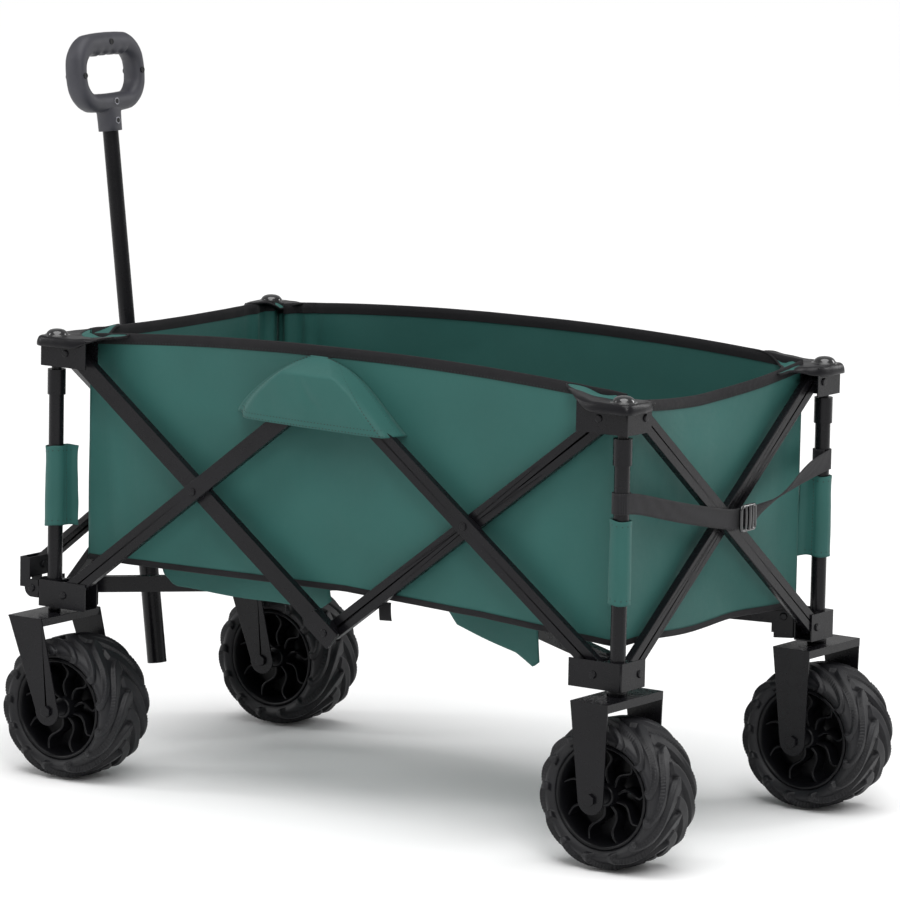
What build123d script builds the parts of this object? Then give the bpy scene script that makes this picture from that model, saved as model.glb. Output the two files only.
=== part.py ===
"""Folding camp wagon: a scissor frame on four wheels that carries a fabric tub.

Millimetres, +Z up, ground at z = 0. +X runs from the handle end to the rear end and +Y is the
wagon's right. Sizes are worked out in the post frame, whose origin is midway between the four
posts, and export() moves every part so that the model's box is centred on the origin.
A corner's own directions are u, inboard along X, and v, inboard along Y, from its post's axis.
"""
from build123d import *
from math import atan2, cos, degrees, hypot, radians, sin, tan
import os

# ---- driving dimensions -------------------------------------------------------------------
bay_run = 400.0          # horizontal distance between a scissor bar's two end pivots
bay_rise = 307.0         # vertical distance between them
pivot_room = 1.3         # air between a pin's head and the end of the bar beside it
fold_angle = 41.0        # how far each bar turns when the frame folds up, degrees

bar_depth = 22.0
bar_thick = 10.5
bar_wall = 1.2
layer_gap = 0.5          # air between neighbouring layers of bars
outer_layer = -13.0      # outer face of the outermost bar, inboard of the post axis
pin_r = 3.0
pin_play = 0.05
head_r = 4.8
head_high = 2.2
face_play = 0.2          # air between a bar and the plate, head or washer beside it

plate = 1.8
lower_side_long = 75.0
lower_end_long = 52.0
lower_high = 34.0
upper_side_long = 72.0
upper_end_long = 53.0
upper_high = 36.0
socket_half = 12.5       # half width of the plastic block round a post

post_r = 9.5
post_wall = 1.2
collar_r = 11.5
collar_high = 32.0
rod_r = 6.5
rod_wall = 1.2
rod_show = 5.0           # bare rod between collar and upper bracket
rod_grip = 40.0          # rod left in the post when the frame is folded
slide_play = 0.05

cap_r = 13.5
cap_flange_r = 17.0
cap_high = 9.0
cap_flange_thick = 1.6
tab_thick = 2.0          # fabric corner tab between the bracket and the cap

wheel_r = 90.0
tyre_half = 46.0
tyre_depth = 26.0
rim_half = 36.0
rim_wall = 3.0
hub_r = 14.0
spoke_count = 9
spoke_wide = 7.0
axle_r = 4.0
axle_head_r = 7.5
axle_head_high = 4.0
rear_trail = 5.0
front_trail = 36.6
tyre_room = 24.0         # air between the tyre and the fork's top plate
spindle_show = 7.0       # spindle between the fork and the lower bracket
fork_thick = 2.0
fork_wide = 53.0
fork_half = 60.0
fork_foot_r = 18.0
fork_lip = 10.0
spindle_r = 8.0
swivel_r = 5.0
swivel_nut_r = 9.0
swivel_play = 0.3

arm_wide = 12.0
arm_depth = 20.0
arm_pivot_u = 31.0
arm_pivot_v = 28.0
arm_pivot_up = 10.0      # floor arm's pivot above the low bar pivots
arm_slope = 3.0          # upward slope of a floor arm, degrees
hub_pivot_r = 80.0       # middle of the floor to an arm's tip pivot
hub_plate = 3.0

fabric = 2.0
front_wall_u = 30.0
floor_rest = 3.1         # air between the hub plate and the fabric floor
floor_thick = 3.0
wall_foot = 14.0         # wall below the underside of the floor
wall_over = 29.0         # wall above the top pivots
soft_gap = 0.4

swing_x_out = 25.0       # swing axis of the handle, ahead of the front posts' axis
swing_up = 4.0           # swing axis above the low bar pivots
swing_angle = 80.0
handle_lean = 7.15       # outward lean of the parked handle, degrees
tube_r = 12.5
tube_wall = 1.5
tube_below = 127.0       # tube below the swing axis
tube_above = 270.0       # tube above the swing axis
stem_r = 10.2
stem_wall = 1.3
stem_top = 589.0
stem_held = 55.0         # stem inside the tube when it is pulled out
stop_play = 2.0          # air between the grip's neck and the collar when pushed in
collar_tube_r = 16.5
collar_tube_high = 30.0
collar_over = 4.0        # collar above the end of the tube
button_travel = 2.5
link_thick = 12.0
link_depth = 16.0
link_wall = 1.2
link_pivot_v = 16.0
link_pivot_up = 30.0     # link's outer pivot above the low bar pivots
yoke_up = 107.0          # yoke above them
yoke_pivot_y = 24.5
yoke_plate = 1.5

grip_wide = 130.0
grip_high = 103.0
grip_thick = 30.0
grip_bar = 23.0
grip_side = 21.0
grip_round = 27.0
grip_edge = 9.0
neck_r = 14.0
neck_high = 28.0

strap_wide = 25.0
strap_thick = 1.5
strap_drop = 0.5         # strap's middle below the bars' crossing
strap_rise = 49.0        # strap on the posts above its middle
buckle_wide = 38.0
buckle_high = 34.0
buckle_thick = 5.0
buckle_y = 22.0

# ---- sizes that follow --------------------------------------------------------------------
fork_plate_top = 2 * wheel_r + tyre_room + fork_thick
low_pivot_z = fork_plate_top + spindle_show + lower_high / 2
top_pivot_z = low_pivot_z + bay_rise
bar_long = hypot(bay_run, bay_rise)
bar_angle = degrees(atan2(bay_rise, bay_run))
folded_run = bar_long * cos(radians(bar_angle + fold_angle))
folded_rise = bar_long * sin(radians(bar_angle + fold_angle))
layer_pitch = bar_thick + layer_gap
layer_mid = [outer_layer + bar_thick / 2 + n * layer_pitch for n in range(3)]
plate_out = outer_layer - face_play - plate
two_layers_in = outer_layer + 2 * layer_pitch - layer_gap + face_play
three_layers_in = two_layers_in + layer_pitch
pivot_inset = two_layers_in + plate + head_high + pivot_room + bar_depth / 2
half_long = bay_run + pivot_inset
half_wide = bay_run / 2 + pivot_inset
lower_bottom = low_pivot_z - lower_high / 2
lower_top = low_pivot_z + lower_high / 2
upper_bottom = top_pivot_z - upper_high / 2
upper_top = top_pivot_z + upper_high / 2
collar_top = upper_bottom - rod_show
rod_bottom = collar_top - (folded_rise - bay_rise) - rod_grip
rim_r = wheel_r - tyre_depth
post_bottom = lower_bottom + plate
arm_pivot_z = low_pivot_z + arm_pivot_up
arm_reach = hypot(half_long - arm_pivot_u, half_wide - arm_pivot_v) - hub_pivot_r
arm_long = arm_reach / cos(radians(arm_slope))
arm_tip_z = arm_pivot_z + arm_long * sin(radians(arm_slope))
arm_dir = Vector(half_long - arm_pivot_u, half_wide - arm_pivot_v, 0).normalized()
hub_bottom = arm_tip_z + arm_depth / 2 + 1.0
floor_z = hub_bottom + hub_plate + floor_rest
wall_low = floor_z - wall_foot
wall_top = top_pivot_z + wall_over
side_wall_v = three_layers_in + plate + head_high + soft_gap
rear_wall_u = two_layers_in + plate + head_high + soft_gap
swing_x = -(half_long + swing_x_out)
swing_z = low_pivot_z + swing_up
link_pivot_z = low_pivot_z + link_pivot_up
yoke_z = low_pivot_z + yoke_up
ear_half = swing_x_out + plate_out + plate * 0.8
stem_travel = stem_top - neck_high - tube_above - collar_over - stop_play
lean = Vector(-sin(radians(handle_lean)), 0, cos(radians(handle_lean)))
yoke_x = swing_x - (yoke_z - swing_z) * tan(radians(handle_lean))

strap_z = low_pivot_z + bay_rise / 2 - strap_drop
strap_post_z = strap_z + strap_rise
buckle_z = strap_z + strap_rise * buckle_y / half_wide

corners = {"fl": (-1, -1), "fr": (-1, 1), "rl": (1, -1), "rr": (1, 1)}
nodes = {}


# ---- small helpers ------------------------------------------------------------------------
def block(x0, x1, y0, y1, z0, z1):
    """A box between two corners, given in any order."""
    size = (abs(x1 - x0), abs(y1 - y0), abs(z1 - z0))
    return Pos((x0 + x1) / 2, (y0 + y1) / 2, (z0 + z1) / 2) * Box(*size)


def corner_block(name, u0, u1, v0, v1, z0, z1):
    sx, sy = corners[name]
    xs = (sx * (half_long - u0), sx * (half_long - u1))
    ys = (sy * (half_wide - v0), sy * (half_wide - v1))
    return block(*xs, *ys, z0, z1)


def corner_point(name, u, v, z):
    sx, sy = corners[name]
    return Vector(sx * (half_long - u), sy * (half_wide - v), z)


def rod(start, end, radius):
    """A round bar from one point to another."""
    start, end = Vector(*start), Vector(*end)
    plane = Plane(origin=start, z_dir=end - start)
    return extrude(plane * Circle(radius), (end - start).length)


def tube(start, end, radius, wall):
    return rod(start, end, radius) - rod(start, end, radius - wall)


def upright(x, y, z0, z1, radius):
    return rod((x, y, z0), (x, y, z1), radius)


def domed_head(foot, direction, radius, high):
    """A round rivet head that stands on foot and points along direction."""
    head = extrude(Plane(origin=foot, z_dir=direction) * Circle(radius), high)
    edge = head.edges().filter_by(GeomType.CIRCLE).sort_by_distance(Vector(*foot))[-1]
    return fillet(edge, high * 0.75)


def rivet(point, direction, low, high):
    """A pin along direction through point, from low to high, with a head on each end."""
    point, direction = Vector(*point), Vector(*direction).normalized()
    pin = rod(point + direction * low, point + direction * high, pin_r)
    pin += domed_head(point + direction * low, -direction, head_r, head_high)
    pin += domed_head(point + direction * high, direction, head_r, head_high)
    return pin


def flat_bar(start, end, across, depth, thick, wall, holes):
    """A hollow bar with round ends: across is the thickness direction, holes are (share, r)."""
    start, end, across = Vector(*start), Vector(*end), Vector(*across).normalized()
    long = (end - start).length
    middle = Plane(origin=(start + end) * 0.5, x_dir=end - start, z_dir=across)
    solid = extrude(middle * SlotCenterToCenter(long, depth), thick / 2, both=True)
    bore = extrude(middle * Rectangle(long - depth, depth - 2 * wall), thick / 2 - wall, both=True)
    solid -= bore
    for share, radius in holes:
        at = start + (end - start) * share
        solid -= rod(at - across * thick, at + across * thick, radius)
    return solid


def add(name, *solids):
    nodes[name] = list(solids)


# ---- scissor bars -------------------------------------------------------------------------
def side_bars(side, sy):
    """Two scissors on one long side. Each bar's crossing and its inner joint carry a pin."""
    out = Vector(0, sy, 0)
    snug, loose = pin_r, pin_r + pin_play

    def at(x, z, layer):
        return Vector(x, sy * (half_wide - layer_mid[layer]), z)

    def through(x, z, first, last):
        """A pin from the outer face of layer first to the inner face of layer last."""
        base = Vector(x, sy * half_wide, z)
        low = -(layer_mid[last] + bar_thick / 2 + face_play)
        high = -(layer_mid[first] - bar_thick / 2)
        return rivet(base, out, low, high)

    low_z, top_z, mid_z = low_pivot_z, top_pivot_z, low_pivot_z + bay_rise / 2
    front_low = flat_bar(at(-bay_run, low_z, 0), at(0, top_z, 0), out, bar_depth, bar_thick,
                         bar_wall, [(0, loose), (0.5, snug), (1, snug)])
    front_high = flat_bar(at(-bay_run, top_z, 1), at(0, low_z, 1), out, bar_depth, bar_thick,
                          bar_wall, [(0, loose), (0.5, loose), (1, snug)])
    rear_low = flat_bar(at(bay_run, low_z, 1), at(0, top_z, 1), out, bar_depth, bar_thick,
                        bar_wall, [(0, loose), (0.5, snug), (1, loose)])
    rear_high = flat_bar(at(bay_run, top_z, 2), at(0, low_z, 2), out, bar_depth, bar_thick,
                         bar_wall, [(0, loose), (0.5, loose), (1, loose)])
    add(f"side_bar_{side}_front_low", front_low, through(-bay_run / 2, mid_z, 0, 1),
        through(0, top_z, 0, 1))
    add(f"side_bar_{side}_rear_low", rear_low, through(bay_run / 2, mid_z, 1, 2))
    add(f"side_bar_{side}_rear_high", rear_high)

    # moulded cover on the outside of the lower middle joint
    cover_back, cover_front, cover_thick = 16.0, 30.0, 6.0
    along = Vector(-bay_run, 0, bay_rise).normalized()
    face = Vector(0, sy * (half_wide - layer_mid[1] + bar_thick / 2), low_z)
    middle = face + along * (cover_front - cover_back) / 2
    cover_plane = Plane(origin=middle, x_dir=along, z_dir=out)
    cover = extrude(cover_plane * RectangleRounded(cover_front + cover_back, 25.0, 3.0), cover_thick)
    base = Vector(0, sy * half_wide, low_z)
    inner_end = -(layer_mid[2] + bar_thick / 2 + face_play)
    outer_end = -(layer_mid[1] - bar_thick / 2) + cover_thick
    cover -= rod(base - out * 50, base + out * 50, pin_r)
    add(f"side_bar_{side}_front_high", front_high, cover, rivet(base, out, inner_end, outer_end))


def end_bars(end, sx):
    """One scissor on a short end: the outer bar starts high on the left, the inner one low."""
    out = Vector(sx, 0, 0)
    snug, loose = pin_r, pin_r + pin_play
    half = bay_run / 2

    def at(y, z, layer):
        return Vector(sx * (half_long - layer_mid[layer]), y, z)

    rising = flat_bar(at(-half, low_pivot_z, 1), at(half, top_pivot_z, 1), out, bar_depth,
                      bar_thick, bar_wall, [(0, loose), (0.5, loose), (1, loose)])
    falling = flat_bar(at(-half, top_pivot_z, 0), at(half, low_pivot_z, 0), out, bar_depth,
                       bar_thick, bar_wall, [(0, loose), (0.5, snug), (1, loose)])
    base = Vector(sx * half_long, 0, low_pivot_z + bay_rise / 2)
    low = -(layer_mid[1] + bar_thick / 2 + face_play)
    high = -(layer_mid[0] - bar_thick / 2)
    add(f"end_bar_{end}_rising", rising)
    add(f"end_bar_{end}_falling", falling, rivet(base, out, low, high))


# ---- brackets and posts -------------------------------------------------------------------
def bracket_pins(name, z, side_in, end_in):
    """The two bar pins of a bracket, with their heads outside the plates."""
    sx, sy = corners[name]
    side = corner_point(name, pivot_inset, 0, z)
    end = corner_point(name, 0, pivot_inset, z)
    return [rivet(side, (0, sy, 0), -side_in - plate, -plate_out),
            rivet(end, (sx, 0, 0), -end_in - plate, -plate_out)]


def channel_plates(name, z0, z1, side_long, end_long, side_in, web_z):
    """Folded plate round a corner: outer walls, inner walls and the web that joins them."""
    face, end_in = plate_out + plate, two_layers_in
    inner = pivot_inset - bar_depth / 2
    side_far, end_far = plate_out + side_long, plate_out + end_long
    shell = corner_block(name, plate_out, side_far, plate_out, face, z0, z1)
    shell += corner_block(name, plate_out, face, plate_out, end_far, z0, z1)
    shell += corner_block(name, inner, side_far, side_in, side_in + plate, z0, z1)
    shell += corner_block(name, end_in, end_in + plate, inner, end_far, z0, z1)
    shell += corner_block(name, plate_out, side_far, plate_out, side_in + plate, *web_z)
    shell += corner_block(name, plate_out, end_in + plate, plate_out, end_far, *web_z)
    bend = corner_point(name, plate_out, plate_out, (z0 + z1) / 2)
    edge = shell.edges().filter_by(Axis.Z).sort_by_distance(bend)[0]
    return fillet(edge, plate * 1.3)


def spacer(name, on_side, z, low, high):
    """A washer stack on a bar's pin, between a plate and the bar."""
    sx, sy = corners[name]
    out = Vector(0, sy, 0) if on_side else Vector(sx, 0, 0)
    at = corner_point(name, pivot_inset, 0, z) if on_side else corner_point(name, 0, pivot_inset, z)
    ring = rod(at - out * high, at - out * low, head_r)
    return ring - rod(at - out * (high + 1), at - out * (low - 1), pin_r)


def layer_spacers(name, on_side, z, layer, inner_face):
    """Washers that fill a channel on both sides of the one bar it holds."""
    bar_out = layer_mid[layer] - bar_thick / 2 - face_play
    bar_in = layer_mid[layer] + bar_thick / 2 + face_play
    rings = []
    if bar_out - (plate_out + plate) > 1:
        rings.append(spacer(name, on_side, z, plate_out + plate, bar_out))
    if inner_face - bar_in > 1:
        rings.append(spacer(name, on_side, z, bar_in, inner_face))
    return rings


def lower_bracket(name):
    sx, sy = corners[name]
    front = sx < 0
    face = plate_out + plate
    web = (lower_bottom, lower_bottom + plate)
    shell = channel_plates(name, lower_bottom, lower_top, lower_side_long, lower_end_long,
                           two_layers_in, web)
    # floor arm's ears on their own piece of the web
    inward = Vector(-sx * arm_dir.X, -sy * arm_dir.Y, 0)
    cross = Vector(-inward.Y, inward.X, 0)
    pivot = corner_point(name, arm_pivot_u, arm_pivot_v, arm_pivot_z)
    ear_in = arm_wide / 2 + face_play
    ear_long = arm_depth / 2 + 2
    foot = Plane(origin=(pivot.X, pivot.Y, web[0]), x_dir=inward, z_dir=(0, 0, 1))
    pad = extrude(foot * Rectangle(2 * ear_long, 2 * (ear_in + plate)), plate)
    root = corner_block(name, face, arm_pivot_u, face, arm_pivot_v, *web)
    shell += pad + root
    ear_high = lower_top - web[0]
    for way in (-1, 1):
        wall = foot * Pos(0, way * (ear_in + plate / 2), ear_high / 2)
        shell += wall * Box(2 * ear_long, plate, ear_high)
    pins = bracket_pins(name, low_pivot_z, two_layers_in, two_layers_in)
    pins.append(rivet(pivot, cross, -ear_in - plate, ear_in + plate))
    solids = []
    if front:
        # ears that carry the handle's knuckle, ahead of the end plate
        x0 = -(half_long - plate_out)
        swing = Vector(swing_x, corner_point(name, 0, 0, 0).Y, swing_z)
        ears = [(plate_out, plate_out + plate), (socket_half, socket_half + plate)]
        for v0, v1 in ears:
            y0, y1 = sy * (half_wide - v0), sy * (half_wide - v1)
            shell += block(x0, swing_x, y0, y1, swing_z - ear_half, swing_z + ear_half)
            shell += rod((swing_x, y0, swing_z), (swing_x, y1, swing_z), ear_half)
        pins.append(rivet(swing, (0, sy, 0), -socket_half - plate, -plate_out))
        # swivel spindle of the caster
        post = corner_point(name, 0, 0, 0)
        top_of_fork = fork_plate_top + swivel_play
        under_fork = fork_plate_top - fork_thick - swivel_play
        spindle = upright(post.X, post.Y, top_of_fork, lower_bottom, spindle_r)
        spindle += upright(post.X, post.Y, under_fork, top_of_fork, swivel_r)
        spindle += upright(post.X, post.Y, under_fork - 6, under_fork, swivel_nut_r)
        solids.append(spindle)
    socket = corner_block(name, face, socket_half, face, socket_half, web[1], lower_top)
    post = corner_point(name, 0, 0, 0)
    socket -= upright(post.X, post.Y, web[0], lower_top + 1, post_r)
    for pin in pins:
        shell -= pin
        socket -= pin
    layer = 0 if front else 1
    solids += layer_spacers(name, True, low_pivot_z, layer, two_layers_in)
    end_layer = 1 if sy < 0 else 0
    solids += layer_spacers(name, False, low_pivot_z, end_layer, two_layers_in)
    add(f"lower_bracket_{name}", shell, socket, *pins, *solids)


def upper_bracket(name):
    sx, sy = corners[name]
    front = sx < 0
    side_in = two_layers_in if front else three_layers_in
    face = plate_out + plate
    web = (upper_top - plate, upper_top)
    shell = channel_plates(name, upper_bottom, upper_top, upper_side_long, upper_end_long,
                           side_in, web)
    post = corner_point(name, 0, 0, 0)
    socket = corner_block(name, face, socket_half, face, socket_half, upper_bottom, web[0])
    socket -= upright(post.X, post.Y, upper_bottom - 1, upper_top, rod_r)
    pins = bracket_pins(name, top_pivot_z, side_in, two_layers_in)
    for pin in pins:
        shell -= pin
        socket -= pin
    stem = upright(post.X, post.Y, rod_bottom, web[0], rod_r)
    guide = post_r - post_wall - slide_play
    stem += upright(post.X, post.Y, rod_bottom, rod_bottom + 12, guide)
    stem -= upright(post.X, post.Y, rod_bottom, web[0], rod_r - rod_wall)
    layer = 1 if front else 2
    rings = layer_spacers(name, True, top_pivot_z, layer, side_in)
    end_layer = 0 if sy < 0 else 1
    rings += layer_spacers(name, False, top_pivot_z, end_layer, two_layers_in)
    add(f"upper_bracket_{name}", shell, socket, stem, *pins, *rings)


def outer_post(name):
    post = corner_point(name, 0, 0, 0)
    low = (post.X, post.Y, post_bottom)
    high = (post.X, post.Y, collar_top - 3)
    pipe = tube(low, high, post_r, post_wall)
    collar_low = collar_top - collar_high
    collar = upright(post.X, post.Y, collar_low, collar_top, collar_r)
    collar -= upright(post.X, post.Y, collar_low, high[2], post_r)
    collar -= upright(post.X, post.Y, collar_low, collar_top, rod_r + slide_play)
    add(f"outer_post_{name}", pipe, collar)


def corner_cap(name):
    post = corner_point(name, 0, 0, 0)
    foot = upper_top + tab_thick
    dome = upright(post.X, post.Y, foot, foot + cap_high, cap_r)
    dome = fillet(dome.edges().group_by(Axis.Z)[-1], cap_high * 0.7)
    flange = upright(post.X, post.Y, foot, foot + cap_flange_thick, cap_flange_r)
    neck = upright(post.X, post.Y, upper_top, foot, rod_r)
    add(f"corner_cap_{name}", dome + flange + neck)


# ---- wheels and forks ---------------------------------------------------------------------
def fork(name):
    sx, sy = corners[name]
    trail = front_trail if sx < 0 else rear_trail
    post = corner_point(name, 0, 0, 0)
    axle_x = post.X + trail
    top, under = fork_plate_top, fork_plate_top - fork_thick
    half = fork_wide / 2
    deck = block(post.X - half, post.X + half, post.Y - fork_half, post.Y + fork_half, under, top)
    lip_x = post.X + half
    deck += block(lip_x - fork_thick, lip_x, post.Y - fork_half, post.Y + fork_half,
                  top - fork_lip, top)
    for way in (-1, 1):
        y = post.Y + way * (fork_half - fork_thick / 2)
        side = Plane(origin=(0, y, 0), x_dir=(1, 0, 0), z_dir=(0, -1, 0))
        leg = Polygon((post.X - half, top), (post.X + half, top),
                      (axle_x + fork_foot_r, wheel_r), (axle_x - fork_foot_r, wheel_r), align=None)
        leg = leg + Pos(axle_x, wheel_r) * Circle(fork_foot_r)
        leg -= Pos(axle_x, wheel_r) * Circle(axle_r)
        deck += extrude(side * leg, fork_thick / 2, both=True)
    axle = rod((axle_x, post.Y - fork_half, wheel_r), (axle_x, post.Y + fork_half, wheel_r), axle_r)
    for way in (-1, 1):
        foot = Vector(axle_x, post.Y + way * fork_half, wheel_r)
        hexagon = Plane(origin=foot, z_dir=(0, way, 0)) * RegularPolygon(axle_head_r, 6)
        axle += extrude(hexagon, axle_head_high)
    solids = [deck, axle]
    if sx < 0:
        solids[0] = deck - upright(post.X, post.Y, under - 1, top + 1, swivel_r + pin_play)
    else:
        solids.append(upright(post.X, post.Y, top, lower_bottom, spindle_r + 4))
    add(f"fork_{name}", *solids)
    wheel(name, axle_x, post.Y)


def wheel(name, x, y):
    """A deep rim with flat spokes and the balloon tyre on it, turning on the fork's axle."""
    centre = Vector(x, y, wheel_r)

    def drum(radius, half):
        return rod(centre - Vector(0, half, 0), centre + Vector(0, half, 0), radius)

    hub_half = fork_half - fork_thick - swivel_play
    rim = drum(rim_r, rim_half) - drum(rim_r - rim_wall, rim_half)
    spoke_reach = rim_r - rim_wall / 2
    for n in range(spoke_count):
        turn = Pos(*centre) * Rot(0, 360 / spoke_count * n, 0)
        rim += turn * Pos(spoke_reach / 2, 0, 0) * Box(spoke_reach, 2 * rim_half * 0.5, spoke_wide)
    rim += drum(hub_r, rim_half * 0.7) + drum(axle_r + 4.5, hub_half)
    rim -= drum(axle_r + pin_play, hub_half + 1)
    add(f"rim_{name}", rim)

    plane = Plane(origin=centre, x_dir=(0, 1, 0), z_dir=(1, 0, 0))
    section = Pos(0, rim_r + tyre_depth / 2) * Rectangle(2 * tyre_half, tyre_depth)
    outer = section.vertices().group_by(Axis.Y)[-1]
    section = fillet(outer, tyre_depth * 0.8)
    add(f"tyre_{name}", revolve(plane * section, Axis(centre, (0, 1, 0)), 360))


# ---- floor arms and hub -------------------------------------------------------------------
def floor_arm(name):
    sx, sy = corners[name]
    inward = Vector(-sx * arm_dir.X, -sy * arm_dir.Y, 0)
    cross = Vector(-inward.Y, inward.X, 0)
    pivot = corner_point(name, arm_pivot_u, arm_pivot_v, arm_pivot_z)
    tip = pivot + inward * arm_reach + Vector(0, 0, arm_tip_z - arm_pivot_z)
    loose = pin_r + pin_play
    arm = flat_bar(pivot, tip, cross, arm_depth, arm_wide, bar_wall, [(0, loose), (1, loose)])
    add(f"floor_arm_{name}", arm)


def floor_hub():
    """A plate over the four arm tips, with ears and a pin for the rear left arm."""
    half_x = hub_pivot_r * arm_dir.X + arm_depth / 2
    half_y = hub_pivot_r * arm_dir.Y + arm_depth / 2
    deck = block(-half_x, half_x, -half_y, half_y, hub_bottom, hub_bottom + hub_plate)
    deck = fillet(deck.edges().filter_by(Axis.Z), 10)
    inward = Vector(-arm_dir.X, arm_dir.Y, 0)
    cross = Vector(-inward.Y, inward.X, 0)
    tip = Vector(hub_pivot_r * arm_dir.X, -hub_pivot_r * arm_dir.Y, arm_tip_z)
    ear_in = arm_wide / 2 + face_play
    ear_low, ear_half_long = arm_tip_z - 8, 8.0
    plane = Plane(origin=(tip.X, tip.Y, ear_low), x_dir=inward, z_dir=(0, 0, 1))
    high = hub_bottom - ear_low
    for way in (-1, 1):
        ear = plane * Pos(0, way * (ear_in + plate / 2), high / 2)
        deck += ear * Box(2 * ear_half_long, plate, high)
    pin = rivet(tip, cross, -ear_in - plate, ear_in + plate)
    add("floor_hub", deck - pin, pin)


# ---- pull handle --------------------------------------------------------------------------
def along(distance, radial=0.0, y=0.0):
    """A point on the handle's axis, measured up from the swing axis."""
    start = Vector(swing_x, y, swing_z)
    outward = Vector(-lean.Z, 0, lean.X)
    return start + lean * distance + outward * radial


def knuckle(name):
    """The bent channel that swings on the front bracket's ears and holds a link's end."""
    sx, sy = corners[name]
    y0 = sy * (half_wide - plate_out - plate - face_play)
    y1 = sy * (half_wide - socket_half + face_play)
    far = sy * (half_wide - link_pivot_v - link_depth / 2 - 4)
    gap = link_thick / 2 + face_play
    x0, x1 = yoke_x - gap - yoke_plate, yoke_x + gap + yoke_plate
    top = link_pivot_z + link_depth / 2 + 4
    inner_top = link_pivot_z - link_depth / 2 - 3
    inner_y = y1 + sy * plate
    foot_r = swing_x_out + plate_out - 1.5
    shape = block(x0, x1, y0, far, swing_z + foot_r, top)
    shape -= block(x0 + yoke_plate, x1 - yoke_plate, y0 - sy * plate, far - sy, inner_top, top + 1)
    shape -= block(x0 + yoke_plate, x1 + 1, y0 - sy * plate, inner_y, swing_z, inner_top - plate)
    shape -= block(x0 - 1, x1 + 1, inner_y - sy * plate, far - sy, swing_z, inner_top - plate)
    for y in (y0, inner_y):
        shape += block(x0, x1, y, y - sy * plate, swing_z, swing_z + foot_r + 1)
        shape += rod((swing_x, y, swing_z), (swing_x, y - sy * plate, swing_z), foot_r)
    pivot = Vector(yoke_x, sy * (half_wide - link_pivot_v), link_pivot_z)
    swing = Vector(swing_x, sy * half_wide, swing_z)
    shape -= rod(swing - Vector(0, 60, 0), swing + Vector(0, 60, 0), pin_r + pin_play)
    if name == "fl":
        bolt = rivet(pivot, (1, 0, 0), -gap - yoke_plate, gap + yoke_plate)
        add("knuckle_fl", shape - bolt, bolt)
    else:
        # this pivot is the open one of the handle's linkage: only the bolt's head is there
        head = domed_head(pivot - Vector(gap + yoke_plate, 0, 0), (-1, 0, 0), head_r, head_high)
        add("knuckle_fr", shape, head)


def handle_link(name):
    sx, sy = corners[name]
    outer = Vector(yoke_x, sy * (half_wide - link_pivot_v), link_pivot_z)
    inner = Vector(yoke_x, sy * yoke_pivot_y, yoke_z)
    loose = pin_r + pin_play
    holes = [(0, loose), (1, loose)]
    add(f"handle_link_{name}", flat_bar(outer, inner, (1, 0, 0), link_depth, link_thick,
                                        link_wall, holes))


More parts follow.
